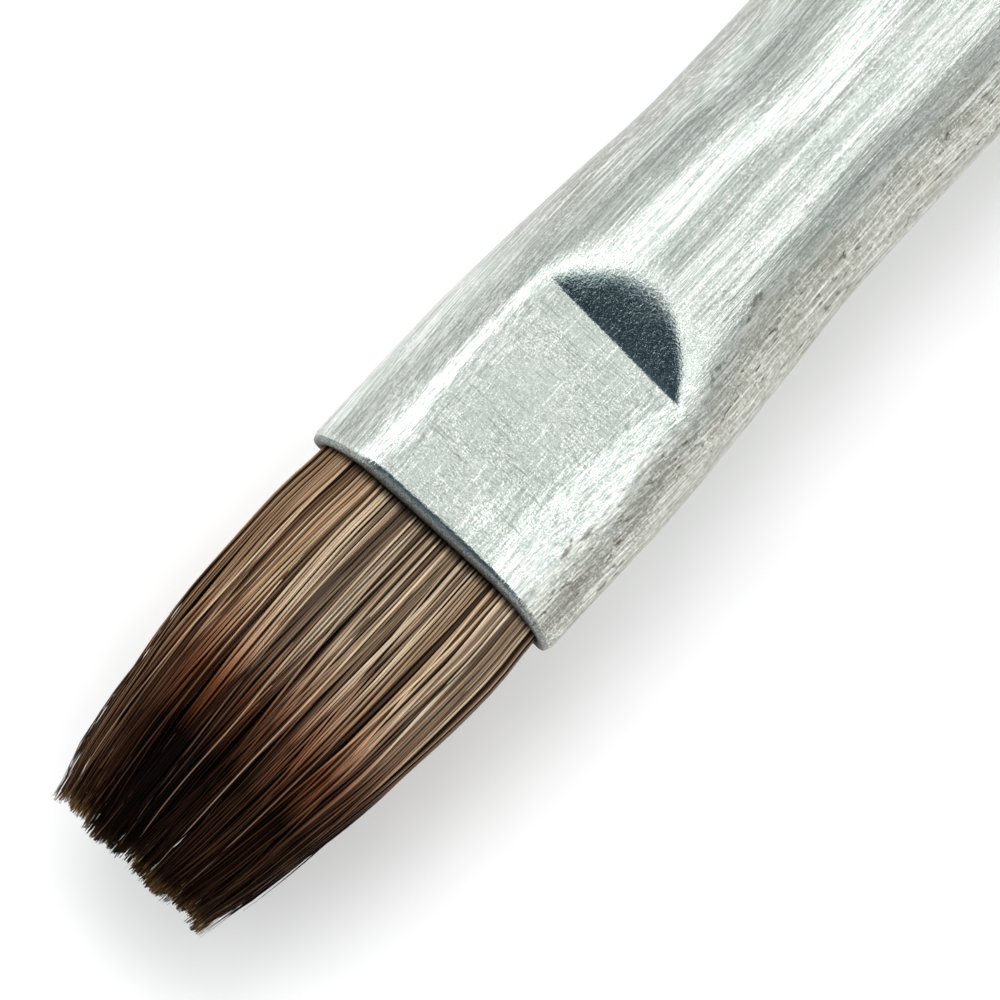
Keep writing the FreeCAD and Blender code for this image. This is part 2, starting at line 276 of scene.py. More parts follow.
def ferrule_metal():
    """Dull tinned metal: pressed grain across the flat, drawing lines along the tube, wear on
    the sides, chafing and pits on the right side, and painted shade on the left side, on the
    steep half-moon and inside the lip."""
    shader = Shader("ferrule_metal", Metallic=1.0)
    place = shader.coordinates()
    zones = ferrule_zones(shader, place)
    sides, right = zones["sides"], zones["right"]

    pressed = shader.noise(shader.coordinates((27.0, 7.0, 7.0)), 1.0, 2.0, 0.6)
    drawn = shader.noise(shader.coordinates((5.0, 27.0, 27.0)), 1.0, 2.0, 0.6)
    drawn_share = shader.math("MAXIMUM", zones["tube"], shader.span(zones["across"], 1.3, 2.1))
    grain = shader.mix(drawn_share, pressed, drawn)
    sparkle = shader.noise(place, 27.0, 1.0, 0.6)
    streaks = shader.noise(shader.coordinates((0.10, 4.5, 4.5)), 1.0, 3.0, 0.6)
    cloud = shader.noise(place, 0.7, 4.0, 0.6)
    patch = shader.noise(shader.coordinates((0.8, 1.6, 1.6)), 1.0, 6.0, 0.75)
    chafe = shader.noise(shader.coordinates((15.0, 3.5, 3.5)), 1.0, 4.0, 0.75)
    pit_field = shader.noise(shader.coordinates((3.0, 7.0, 7.0)), 1.0, 3.0, 0.6)
    pits = shader.product(shader.span(pit_field, 0.61, 0.67), right)

    tone = shader.ramp(
        cloud,
        [(0.30, (0.52, 0.585, 0.53)), (0.50, (0.575, 0.64, 0.585)), (0.72, (0.63, 0.68, 0.635))],
    )
    tone = shader.mix(right, tone, (0.40, 0.405, 0.335))
    # Painted shade: the round left side is darker, standing in for a dimmer reflection there.
    tone = shader.mix(zones["left"], tone, (0.30, 0.31, 0.26))
    worn = shader.product(sides, shader.span(patch, 0.42, 0.60), clamp=True)
    worn = shader.product(worn, shader.span(right, 0.0, 1.0, 0.55, 1.0))
    tone = shader.mix(shader.product(worn, 0.42), tone, (0.24, 0.22, 0.155))
    chafed = shader.product(shader.span(chafe, 0.50, 0.60), right)
    tone = shader.mix(shader.product(chafed, 0.38), tone, (0.20, 0.185, 0.13))
    glints = shader.product(shader.span(chafe, 0.46, 0.40), right)
    tone = shader.mix(shader.product(glints, 0.45), tone, (0.75, 0.75, 0.68))

    fleck = shader.math("ADD", shader.product(grain, 0.5), shader.product(sparkle, 0.5))
    lively = shader.span(shader.noise(place, 1.3, 2.0), 0.35, 0.65, 0.45, 1.0)
    bright = shader.product(shader.span(fleck, 0.51, 0.61, 0.0, 0.80), lively)
    tone = shader.mix(bright, tone, (1.0, 1.0, 1.0))
    dull = shader.product(shader.span(fleck, 0.48, 0.36, 0.0, 0.60), lively)
    tone = shader.mix(dull, tone, (0.20, 0.23, 0.215))
    dark_lines, light_lines = drawing_lines(shader, zones)
    tone = shader.mix(light_lines, tone, (0.95, 0.96, 0.94))
    tone = shader.mix(dark_lines, tone, (0.27, 0.30, 0.285))
    scratches = shader.noise(shader.coordinates((26.0, 1.0, 1.0)), 1.0, 1.0)
    scratches = shader.span(scratches, 0.62, 0.70)
    scratches = shader.product(scratches, shader.span(drawn_share, 1.0, 0.0))
    tone = shader.mix(shader.product(scratches, 0.4), tone, (0.15, 0.16, 0.15))
    # Painted shade: where the half-moon faces back towards the hair, its colour is darkened to
    # blue-grey, standing in for the dark reflection it shows.
    facing = shader.add("NewGeometry").outputs["Normal"]
    facing = shader.add("SeparateXYZ", {"Vector": facing}).outputs["X"]
    moon_painted_shade = shader.product(shader.span(facing, -0.24, -0.36), zones["moon"])
    shaded = shader.mix(1.0, tone, (0.42, 0.48, 0.52), "MULTIPLY")
    tone = shader.mix(moon_painted_shade, tone, shaded)

    lip = shader.attribute("lip_turn")
    lip_grey = shader.ramp(sparkle, [(0.35, (0.16, 0.175, 0.17)), (0.65, (0.44, 0.46, 0.44))])
    tone = shader.mix(shader.span(lip, 0.0, 0.10), tone, lip_grey)
    # Painted shade: the inner half of the turned lip and the whole inside of the ferrule are near
    # black.
    tone = shader.mix(shader.span(lip, 0.25, 0.62), tone, (0.02, 0.02, 0.018))
    crack = shader.span(shader.math("ABSOLUTE", zones["past_edge"]), 0.07, 0.02)
    crack = shader.product(crack, shader.span(patch, 0.53, 0.60, 0.0, 0.8), clamp=True)
    grime = shader.product(shader.math("MAXIMUM", pits, crack), 0.8)
    tone = shader.mix(grime, tone, (0.08, 0.068, 0.045))

    roughness = shader.math("ADD", shader.span(cloud, 0.3, 0.7, 0.15, 0.21), sides)
    roughness = shader.math("MINIMUM", roughness, 0.33)
    roughness = shader.math("MAXIMUM", roughness, shader.span(lip, 0.0, 0.1, 0.0, 0.45))

    frost = shader.product(shader.noise(place, 13.0, 2.0, 0.7), zones["moon"])
    normal = shader.bump(streaks, 0.028, 0.8)
    normal = shader.bump(grain, 0.005, 1.0, normal)
    normal = shader.bump(sparkle, 0.004, 1.0, normal)
    normal = shader.bump(frost, 0.0135, 1.0, normal)
    normal = shader.bump(shader.product(chafe, right), 0.012, 1.0, normal)
    normal = shader.bump(shader.math("SUBTRACT", 1.0, pits), 0.03, 0.8, normal)
    return shader.join(Base_Color=tone, Roughness=roughness, Normal=normal)


def hair_material():
    """Natural hair. Each strand carries its own tone and warmth, and darkens towards the tip;
    painted shade darkens the hair inside the mouth and each strand's inner side.
    """
    shader = Shader("natural_hair")
    tone = shader.attribute("tone")
    warmth = shader.attribute("warmth")
    along = shader.attribute("along")
    tip_dark = shader.attribute("tip_dark")
    brown = shader.ramp(
        tone,
        [(0.0, (0.84, 0.63, 0.41)), (0.3, (0.49, 0.30, 0.160)), (0.6, (0.155, 0.080, 0.040)),
         (1.0, (0.018, 0.010, 0.007))],
    )
    ash = shader.ramp(
        tone,
        [(0.0, (0.84, 0.71, 0.53)), (0.3, (0.48, 0.37, 0.255)), (0.6, (0.13, 0.098, 0.068)),
         (1.0, (0.012, 0.010, 0.009))],
    )
    pigment = shader.mix(warmth, ash, brown)
    strand = shader.add(
        "CombineXYZ",
        {"X": shader.product(along, 7.0), "Y": shader.product(tip_dark, 90.0),
         "Z": shader.product(tone, 40.0)},
    ).outputs[0]
    mottle = shader.noise(strand, 1.0, 2.0)
    pigment = shader.mix(shader.span(mottle, 0.35, 0.75, 0.0, 0.5), pigment, (0.13, 0.06, 0.03))
    chestnut = shader.mix(1.0, pigment, (0.47, 0.19, 0.085), "MULTIPLY")
    reddening = shader.product(shader.span(along, 0.30, 0.56), tip_dark, clamp=True)
    pigment = shader.mix(reddening, pigment, chestnut)
    darkening = shader.product(shader.span(along, 0.45, 0.70), tip_dark, clamp=True)
    pigment = shader.mix(darkening, pigment, (0.0028, 0.0013, 0.0010))
    golden = shader.span(tip_dark, 0.95, 0.65, 0.08, 0.9)
    golden = shader.product(shader.span(along, 0.965, 1.0), golden)
    pigment = shader.mix(golden, pigment, (0.30, 0.17, 0.065))
    # Painted shade: the strands inside the ferrule's mouth are near black.
    inside_mouth = shader.span(along, 0.012, -0.012)
    pigment = shader.mix(inside_mouth, pigment, (0.012, 0.008, 0.006))
    # Painted shade: each strand is darker on its inner side, where the packed strands shade one
    # another.
    shade = shader.ramp(
        shader.attribute("crown"), [(0.45, grey(0.10)), (0.74, grey(0.62)), (0.97, grey(1.0))]
    )
    pigment = shader.mix(1.0, pigment, shade, "MULTIPLY")
    roughness = shader.span(mottle, 0.3, 0.7, 0.30, 0.45)
    gloss = shader.span(darkening, 0.0, 0.9, 0.14, 0.03)
    return shader.join(Base_Color=pigment, Roughness=roughness, Specular_IOR_Level=gloss)


def stained_lacquer():
    """Red-brown stain under gloss lacquer, with the wood's grain showing through."""
    shader = Shader(
        "stained_lacquer", Specular_IOR_Level=0.10, Coat_Weight=0.7, Coat_Roughness=0.06
    )
    warp = shader.noise(shader.coordinates((0.02, 0.2, 0.2)), 1.0, 2.0)
    streaks = shader.noise(shader.coordinates((0.06, 2.4, 2.4)), 1.0, 5.0, 0.6, 0.4)
    pores = shader.noise(shader.coordinates((0.5, 12.0, 12.0)), 1.0, 3.0, 0.6)
    colour = shader.ramp(
        streaks,
        [(0.30, (0.070, 0.014, 0.008)), (0.50, (0.150, 0.030, 0.014)),
         (0.70, (0.255, 0.066, 0.026))],
    )
    colour = shader.mix(shader.span(warp, 0.3, 0.7, 0.0, 0.35), colour, (0.09, 0.018, 0.010))
    colour = shader.mix(shader.span(pores, 0.62, 0.75, 0.0, 0.7), colour, (0.030, 0.008, 0.005))
    ripple = shader.noise(shader.coordinates((0.25, 0.7, 0.7)), 1.0, 2.0)
    roughness = shader.span(streaks, 0.3, 0.7, 0.30, 0.22)
    normal = shader.bump(ripple, 0.05, 0.25)
    return shader.join(Base_Color=colour, Roughness=roughness, Normal=normal, Coat_Normal=normal)


def dipped_lacquer():
    """Black dipped lacquer with faint orange peel and fine dust."""
    shader = Shader("dipped_lacquer", Specular_IOR_Level=0.10, Coat_Weight=0.5, Coat_Roughness=0.08)
    place = shader.coordinates()
    peel = shader.noise(place, 2.2, 2.0)
    dust = shader.noise(place, 9.0, 2.0)
    colour = shader.ramp(peel, [(0.3, (0.010, 0.010, 0.011)), (0.7, (0.022, 0.021, 0.022))])
    colour = shader.mix(shader.span(dust, 0.70, 0.78, 0.0, 0.5), colour, grey(0.12))
    roughness = shader.span(peel, 0.3, 0.7, 0.16, 0.26)
    return shader.join(Base_Color=colour, Roughness=roughness, Normal=shader.bump(peel, 0.03, 0.3))


def bare_wood():
    """Pale, fine-grained hardwood."""
    shader = Shader("bare_wood")
    rings = shader.noise(shader.coordinates((0.04, 1.6, 1.6)), 1.0, 5.0, 0.6, 0.6)
    pores = shader.noise(shader.coordinates((0.6, 14.0, 14.0)), 1.0, 2.0)
    colour = shader.ramp(
        rings, [(0.3, (0.42, 0.25, 0.12)), (0.5, (0.56, 0.37, 0.20)), (0.7, (0.64, 0.46, 0.27))]
    )
    colour = shader.mix(shader.span(pores, 0.6, 0.75, 0.0, 0.6), colour, (0.20, 0.11, 0.05))
    roughness = shader.span(rings, 0.3, 0.7, 0.55, 0.7)
    return shader.join(Base_Color=colour, Roughness=roughness, Normal=shader.bump(pores, 0.02, 0.5))


def cloudy_filler(name, dark, light, roughness):
    """Cured glue or resin with uneven colour and small bubbles."""
    shader = Shader(name)
    place = shader.coordinates()
    cloud = shader.noise(place, 0.9, 4.0)
    bubbles = shader.noise(place, 6.0, 1.0)
    colour = shader.ramp(cloud, [(0.3, dark), (0.7, light)])
    rough = shader.span(cloud, 0.3, 0.7, roughness, roughness + 0.15)
    return shader.join(Base_Color=colour, Roughness=rough, Normal=shader.bump(bubbles, 0.02, 0.5))


def waxed_thread():
    """Twisted, waxed thread."""
    shader = Shader("waxed_thread", Sheen_Weight=0.2)
    twist = shader.add(
        "TexWave", {"Vector": shader.coordinates(rotation=(0.6, 0.0, 0.5)), "Scale": 2.6,
                    "Distortion": 1.0}
    ).outputs["Fac"]
    colour = shader.ramp(twist, [(0.1, (0.42, 0.38, 0.28)), (0.8, (0.72, 0.68, 0.56))])
    roughness = shader.span(twist, 0.0, 1.0, 0.75, 0.55)
    return shader.join(Base_Color=colour, Roughness=roughness, Normal=shader.bump(twist, 0.02, 0.8))


def floor_paper():
    """Seamless pale studio paper."""
    shader = Shader("floor_paper", Roughness=0.9, Specular_IOR_Level=0.1, Emission_Strength=0.10)
    fibre = shader.noise(shader.coordinates((0.5, 0.5, 0.5)), 1.0, 3.0)
    return shader.join(Base_Color=shader.ramp(fibre, [(0.3, grey(0.93)), (0.7, grey(0.95))]))


# ---- Ferrule ------------------------------------------------------------------------------
# Distance behind the mouth against size, as on the CAD ferrule
HALF_WIDTHS = ((0.0, 3.52), (3.5, 3.52), (6.1, 3.40), (8.0, 3.27), (11.0, 3.06), (26.0, 3.06))
HALF_HEIGHTS = ((0.0, 1.745), (3.0, 2.30), (6.1, 2.87), (8.0, 3.02), (11.0, 3.06), (26.0, 3.06))
# On the right (-Y) the pressing ran wide: the shoulder is lower and squarer than an ellipse
RIGHT_HEIGHTS = (
    (0.0, 1.45), (3.0, 1.96), (4.5, 2.30), (5.7, 2.63), (6.7, 2.91), (7.4, 3.02), (8.2, 3.045),
    (11.0, 3.06), (26.0, 3.06),
)
RIGHT_SQUARENESS = (
    (0.0, 2.5), (5.7, 2.5), (6.7, 2.3), (8.0, 2.0), (10.3, 2.0), (12.8, 1.72), (14.5, 1.86),
    (16.5, 2.0), (26.0, 2.0),
)
LEFT_SQUARENESS = (
    (0.0, 2.0), (10.3, 2.0), (12.8, 1.72), (14.5, 1.86), (16.5, 2.0), (26.0, 2.0),
)
WALL = 0.28
CREASE = 5.7               # where the long flat ends in the half-moon
CREASE_SLANT = 0.054       # the crease isn't quite square to the axis
MOUTH_HALF_THICKNESS = 1.4
FLAT_SLOPE = 0.156
MOON_SLOPE = 0.58
MOON_EASING = 0.10         # the half-moon's slope falls by this much per millimetre
MOON_LENGTH = 2.0          # over this length behind the crease
MOON_LEFT_EASING = 0.17    # the slope is this much less at the half-moon's left end
CRIMPS = (18.5, 22.0)
CRIMP_HALF_WIDTH = 0.7
CRIMP_DEPTH = 0.22
LIP_LENGTH = 0.14          # the mouth's edge is turned in over this length
LIP_TURN = 0.05            # by this much
MOUTH_BOW = 0.25           # the pressed faces end this far behind the mouth's two sides
CREST_SHIFT = 0.33         # the faint ridge behind the half-moon lies this far to the right
FERRULE_COLUMNS = 300


def pressed_height(s, y):
    """Half height of the pressed faces: the long flat, then the steeper half-moon."""
    past_crease = s - CREASE - CREASE_SLANT * y
    flat = MOUTH_HALF_THICKNESS + FLAT_SLOPE * s
    climb = 0.5 * (past_crease + np.sqrt(past_crease**2 + 0.03**2))
    slope = MOON_SLOPE - FLAT_SLOPE - MOON_LEFT_EASING * smooth_step(0.8, 1.9, y)
    return flat + slope * climb - 0.5 * MOON_EASING * np.minimum(climb, MOON_LENGTH) ** 2


def crimp_dip(s):
    """How deep the rolled crimps are at a distance behind the mouth."""
    dip = 0.0
    for centre in CRIMPS:
        share = np.clip(np.abs(s - centre) / CRIMP_HALF_WIDTH, 0.0, 1.0)
        dip = dip + CRIMP_DEPTH * np.cos(share * math.pi / 2) ** 2
    return dip


def ferrule_surface(s, angle, inset):
    """(y, z) of the ferrule's surface at a distance behind the mouth, moved in by the inset."""
    shrink = crimp_dip(s) + inset
    half_width = smooth_table(HALF_WIDTHS, s) - shrink
    left_height = smooth_table(HALF_HEIGHTS, s) - shrink
    right_height = smooth_table(RIGHT_HEIGHTS, s) - shrink
    left_power = smooth_table(LEFT_SQUARENESS, s)
    right_power = smooth_table(RIGHT_SQUARENESS, s)
    y = half_width * np.cos(angle)
    crest = -CREST_SHIFT * smooth_step(10.0, 13.0, s) * smooth_step(16.5, 14.5, s)
    reach = np.where(y > crest, half_width - crest, half_width + crest)
    share = np.clip(np.abs(y - crest) / reach, 0.0, 1.0)
    left = left_height * (1.0 - share**left_power) ** (1.0 / left_power)
    right = right_height * (1.0 - share**right_power) ** (1.0 / right_power)
    right_share = smooth_step(0.25, -0.25, y / half_width)
    side = left + (right - left) * right_share
    softness = 0.13 + 0.09 * smooth_step(4.8, 6.2, s)
    softness = softness + (0.08 - softness) * right_share
    height = soft_min(side, pressed_height(s, y) - inset, softness)
    return y, np.sign(np.sin(angle)) * height


def ferrule_rows():
    """Distances behind the mouth of the rings of the outer surface, close where it turns."""
    lip = np.linspace(0.0, LIP_LENGTH, 8)
    flat = np.linspace(LIP_LENGTH, CREASE - 0.4, 60)[1:]
    crease = np.linspace(CREASE - 0.4, CREASE + 0.5, 46)[1:]
    moon = np.linspace(CREASE + 0.5, 11.0, 70)[1:]
    tube = np.linspace(11.0, FERRULE_LENGTH, 90)[1:]
    return np.concatenate([lip, flat, crease, moon, tube])


def ferrule_ring(s, inset):
    """One closed ring of vertices; the rings lean with the crease and bow back at the mouth."""
    angle = np.linspace(0.0, 2 * math.pi, FERRULE_COLUMNS, endpoint=False)
    slant = CREASE_SLANT * np.clip(1.0 - abs(s - CREASE) / 5.0, 0.0, 1.0)
    y, _ = ferrule_surface(np.full(FERRULE_COLUMNS, s), angle, inset)
    place = s + slant * y
    y, z = ferrule_surface(place, angle, inset)
    bow = MOUTH_BOW * (1.0 - (np.abs(y) / 3.6) ** 4) * smooth_step(3.0, 0.0, s)
    return np.stack([MOUTH_X / MM + place + bow, y, z], axis=1)


def lip_inset(s):
    return LIP_TURN * np.clip(1.0 - s / LIP_LENGTH, 0.0, 1.0) ** 2


def make_ferrule():
    """The drawn tube with its pressed flats, half-moon dents, turned lip and rolled crimps."""
    outer = ferrule_rows()
    inner = np.concatenate([np.linspace(0.0, 6.0, 24), np.linspace(7.0, FERRULE_LENGTH, 30)])
    rings = [ferrule_ring(s, lip_inset(s)) for s in outer[::-1]]
    lip_turn = [0.0] * (len(outer) - 1) + [0.15]
    lip_radius = WALL / 2
    for step in range(1, 10):
        bend = math.pi * step / 10
        inset = LIP_TURN + lip_radius * (1 - math.cos(bend))
        rings.append(ferrule_ring(-lip_radius * math.sin(bend), inset))
        lip_turn.append(0.15 + 0.85 * step / 10)
    rings += [ferrule_ring(s, WALL + lip_inset(s)) for s in inner]
    lip_turn += [1.0] * len(inner)

    faces = []
    for row in range(len(rings)):
        here = row * FERRULE_COLUMNS
        there = ((row + 1) % len(rings)) * FERRULE_COLUMNS
        for column in range(FERRULE_COLUMNS):
            right = (column + 1) % FERRULE_COLUMNS
            faces.append((here + column, here + right, there + right, there + column))
    piece = new_mesh_object("ferrule_shell", np.concatenate(rings), faces, ferrule_metal())
    layer = piece.data.attributes.new("lip_turn", "FLOAT", "POINT")
    layer.data.foreach_set("value", np.repeat(lip_turn, FERRULE_COLUMNS).astype(np.float32))
    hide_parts("ferrule")
    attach(piece, "brush")


# ---- Hair ---------------------------------------------------------------------------------
# Distance in front of the mouth against the tuft's half width and half thickness
TUFT_WIDTHS = (
    (-1.0, 3.12), (0.0, 3.14), (1.5, 3.24), (4.4, 3.14), (6.6, 2.88), (8.4, 2.57), (9.8, 2.25),
)
TUFT_HEIGHTS = (
    (-1.0, 0.84), (0.0, 0.88), (2.5, 1.10), (4.5, 1.03), (6.6, 0.80), (8.4, 0.56), (9.8, 0.38),
)
MOUTH_HALF_WIDTH, MOUTH_HALF_HEIGHT = 3.14, 0.88
HAIR_ROOT = -1.2           # the strands start this far inside the mouth
HAIR_RADIUS = 0.0320
HAIR_PITCH = 0.079
HAIR_SIDES = 6
STRAND_RINGS = 12          # in the root half and again in the tip half of a strand
TOP_STRANDS = 200
CROSSING_SWEEP = 2.2       # how far a crossing hair moves sideways, for each unit of its angle
LOCK_HINGE = 5.0           # the root strands end and the locks begin this far out
TUCK = 0.18                # a lock's strands start this much further back, inside the root strands
TUCKED_SHARE = 0.90        # and are this much thinner there
LOCKS = ("far_left", "left", "middle", "right", "far_right")
LAYERS = ("top", "belly", "bottom")
# Share of the half width, from the right (-Y) side to the left, against how dark the hair is
TONE_BANDS = (
    (-1.0, 0.46), (-0.90, 0.34), (-0.80, 0.52), (-0.68, 0.22), (-0.50, 0.24), (-0.36, 0.20),
    (-0.20, 0.42), (-0.08, 0.30), (0.10, 0.20), (0.18, 0.42), (0.25, 0.82), (0.32, 0.34),
    (0.43, 0.06), (0.55, 0.24), (0.70, 0.50), (0.82, 0.44), (0.93, 0.34), (1.0, 0.42),
)
WARMTH_BANDS = (
    (-1.0, 0.5), (-0.75, 0.25), (-0.6, 0.75), (-0.35, 0.45), (0.05, 0.15), (0.3, 0.35), (0.6, 0.8),
    (1.0, 0.9),
)
TIP_DARK_BANDS = (
    (-1.0, 0.62), (-0.85, 0.80), (-0.7, 0.93), (-0.4, 0.85), (-0.14, 0.91), (0.14, 1.0),
    (0.5, 1.0), (0.7, 0.76), (0.85, 0.52), (1.0, 0.36),
)


def hair_roots(rng):
    """Positions of the strands in the mouth as shares of the half width and half thickness."""
    row_height = 0.866 * HAIR_PITCH
    roots = []
    for row in range(int(2 * MOUTH_HALF_HEIGHT / row_height) + 1):
        row_z = -MOUTH_HALF_HEIGHT + row_height * row + 0.02
        offset = HAIR_PITCH / 2 * (row % 2)
        for column in range(int(2 * MOUTH_HALF_WIDTH / HAIR_PITCH) + 1):
            y = -MOUTH_HALF_WIDTH + offset + HAIR_PITCH * column
            y += rng.uniform(-0.3, 0.3) * HAIR_PITCH
            z = row_z + rng.uniform(-0.3, 0.3) * HAIR_PITCH
            reach = max(abs(y) - (MOUTH_HALF_WIDTH - MOUTH_HALF_HEIGHT), 0.0)
            if math.hypot(reach, z) < MOUTH_HALF_HEIGHT:
                roots.append((y / MOUTH_HALF_WIDTH, z / MOUTH_HALF_HEIGHT))
    return roots


def make_clumps(rng, count):
    """Centres that neighbouring strands lean towards, how hard each one pulls, and its drift."""
    clumps = []
    for _ in range(count):
        centre = (rng.uniform(-1, 1), rng.uniform(-1, 1))
        clumps.append((*centre, rng.uniform(0.15, 0.60), rng.gauss(0.0, 0.5)))
    return clumps


def strand_path(rng, root, clumps, distances, length):
    """Centre line of one strand at the given distances in front of the mouth."""
    side, level = root
    nearest = min(clumps, key=lambda c: (3.1 * (c[0] - side)) ** 2 + (c[1] - level) ** 2)
    clump_side, clump_level, strength, clump_drift = nearest
    gather = smooth_step(0.5, 8.0, distances)
    pull = strength * gather
    side_now = side + pull * (clump_side - side)
    level_now = level + pull * 0.5 * (clump_level - level)
    y = side_now * smooth_table(TUFT_WIDTHS, distances)
    z = level_now * smooth_table(TUFT_HEIGHTS, distances)
    wayward = rng.random() < 0.2
    drift = 0.05 * clump_drift + rng.gauss(0.0, 0.10 if wayward else 0.02)
    y = y + drift * gather * distances / 4.0 * (1.0 - 0.8 * abs(side))
    for _ in range(2):
        wave = rng.uniform(4.0, 11.0)
        swing = abs(rng.gauss(0.0, 0.030)) * gather
        turn = rng.uniform(0.0, 2 * math.pi)
        y = y + swing * np.sin(distances / wave * 2 * math.pi + turn)
        z = z + 0.6 * swing * np.cos(distances / wave * 2 * math.pi + turn)
    fray = smooth_step(length - 1.2, length, distances)
    y = y + rng.gauss(0.0, 0.035) * fray
    z = z + rng.gauss(0.0, 0.035) * fray
    return np.stack([MOUTH_X / MM - distances, y, z], axis=1)


def strand_radius(base, distances, length, pointed):
    """The hair is fullest in front of the mouth and runs out to a point."""
    taper = 1.0 - 0.50 * smooth_step(3.0, 8.5, distances)
    point = 1.0 - pointed * smooth_step(length - 1.6, length, distances)
    return base * taper * point


def tube_mesh(path, radius, first_angle):
    """Ring vertices round a path that runs roughly along X, and the faces that join them."""
    sides = HAIR_SIDES
    angle = first_angle + 2 * math.pi * np.arange(sides) / sides
    ring = np.stack([np.zeros(sides), np.cos(angle), np.sin(angle)], axis=1)
    vertices = (path[:, None, :] + radius[:, None, None] * ring[None, :, :]).reshape(-1, 3)
    faces = []
    for row in range(len(path) - 1):
        here, there = row * sides, (row + 1) * sides
        for side in range(sides):
            right = (side + 1) % sides
            faces.append((here + side, there + side, there + right, here + right))
    faces.append(tuple(range(sides)))
    faces.append(tuple(reversed(range(len(vertices) - sides, len(vertices)))))
    return vertices, faces


def face_sizes(mesh):
    sizes = np.empty(len(mesh.polygons), np.int64)
    mesh.polygons.foreach_get("loop_total", sizes)
    return sizes


class HairPiece:
    """Collects strands and turns them into one mesh with per-strand attributes."""

    def __init__(self, name):
        self.name = name
        self.vertices = []
        self.faces = []
        self.values = {"tone": [], "warmth": [], "tip_dark": [], "along": [], "crown": []}
        self.strand_of_face = []
        self.vertex_count = 0
        self.strand_count = 0

    def add(self, path, radius, along, traits, angle):
        """Add a strand; crown is 1 on the side that faces out of the tuft, 0 on the inner side, and
        sets the strand's painted shade.
        """
        vertices, faces = tube_mesh(path, radius, angle)
        around = angle + 2 * math.pi * np.arange(HAIR_SIDES) / HAIR_SIDES
        crown = 0.5 + 0.5 * np.cos(around - traits["outward"])
        self.values["crown"].append(np.tile(crown, len(path)))
        self.values["along"].append(np.repeat(along, HAIR_SIDES))
        for trait in ("tone", "warmth", "tip_dark"):
            self.values[trait].append(np.full(len(vertices), traits[trait]))
        self.vertices.append(vertices)
        self.faces.extend(tuple(v + self.vertex_count for v in face) for face in faces)
        self.strand_of_face.extend([self.strand_count] * len(faces))
        self.vertex_count += len(vertices)
        self.strand_count += 1

    def build(self, material):
        piece = new_mesh_object(self.name, np.concatenate(self.vertices), self.faces, material)
        self.sharpen_ends(piece.data)
        for name, parts in self.values.items():
            layer = piece.data.attributes.new(name, "FLOAT", "POINT")
            layer.data.foreach_set("value", np.concatenate(parts).astype(np.float32))
        self.lay_out_texture(piece.data)
        return piece

    def sharpen_ends(self, mesh):
        """Sharp edges round the cut ends, which are the only faces with HAIR_SIDES corners."""
        sizes = face_sizes(mesh)
        edges = np.empty(len(mesh.loops), np.int64)
        mesh.loops.foreach_get("edge_index", edges)
        sharp = np.zeros(len(mesh.edges), bool)
        sharp[edges[np.repeat(sizes == HAIR_SIDES, sizes)]] = True
        layer = mesh.attributes.new("sharp_edge", "BOOLEAN", "EDGE")
        layer.data.foreach_set("value", sharp)

    def lay_out_texture(self, mesh):
        """One narrow column of the texture for each strand: its length runs up the column, and
        the column's width runs from the strand's inner side to the side that faces out."""
        columns = 250
        tones = np.array([part[0] for part in self.values["tone"]])
        rank = np.empty(self.strand_count, int)
        rank[np.argsort(tones, kind="stable")] = np.arange(self.strand_count)
        column = rank * columns // self.strand_count
        corners = np.empty(len(mesh.loops), np.int64)
        mesh.loops.foreach_get("vertex_index", corners)
        sizes = face_sizes(mesh)
        face_of_corner = np.repeat(np.arange(len(sizes)), sizes)
        strand_of_corner = np.array(self.strand_of_face)[face_of_corner]
        along = np.concatenate(self.values["along"])[corners]
        crown = np.concatenate(self.values["crown"])[corners]
        u = (column[strand_of_corner] + 0.05 + 0.90 * crown) / columns
        v = 0.01 + 0.98 * np.clip(along, 0.0, 1.0)
        layer = mesh.uv_layers.new(name="OFBake")
        layer.data.foreach_set("uv", np.stack([u, v], axis=1).astype(np.float32).ravel())


def lock_of(side, level):
    """Which lock and which layer a strand belongs to."""
    lock = min(int((side + 1) / 2 * len(LOCKS)), len(LOCKS) - 1)
    layer = LAYERS[0] if level > 0.4 else LAYERS[2] if level < -0.4 else LAYERS[1]
    return LOCKS[lock], layer


def lift_at(side):
    """Share of the half thickness that the hair reaches at a share of the half width."""
    return math.sqrt(max(1.0 - max(abs(side) - 0.62, 0.0) ** 2 / 0.38**2, 0.0))


def strand_traits(rng, side, level):
    """A strand's colouring; strands under the surface are shaded by the ones above them."""
    depth = min(lift_at(side) - abs(level), 1.0 - abs(side))
    tone = np.interp(side, *zip(*TONE_BANDS)) + rng.gauss(0.0, 0.19)
    if rng.random() < 0.16:
        tone = rng.uniform(0.0, 0.12)
    if rng.random() < 0.12:
        tone = rng.uniform(0.6, 0.95)
    # Painted shade: strands under the surface are darker.
    tone += 0.42 * float(smooth_step(0.02, 0.12, depth))
    warmth = np.interp(side, *zip(*WARMTH_BANDS)) + rng.gauss(0.0, 0.2)
    tip_dark = np.interp(side, *zip(*TIP_DARK_BANDS)) + rng.gauss(0.0, 0.05)
    if rng.random() < 0.09:
        tip_dark *= rng.uniform(0.35, 0.85)
    edge = math.copysign(float(smooth_step(0.72, 1.0, abs(side))), side)
    tone, warmth, tip_dark = np.clip([tone, warmth, tip_dark], 0.0, 1.0)
    outward = math.atan2(level, edge)
    return {"tone": tone, "warmth": warmth, "tip_dark": tip_dark, "outward": outward}


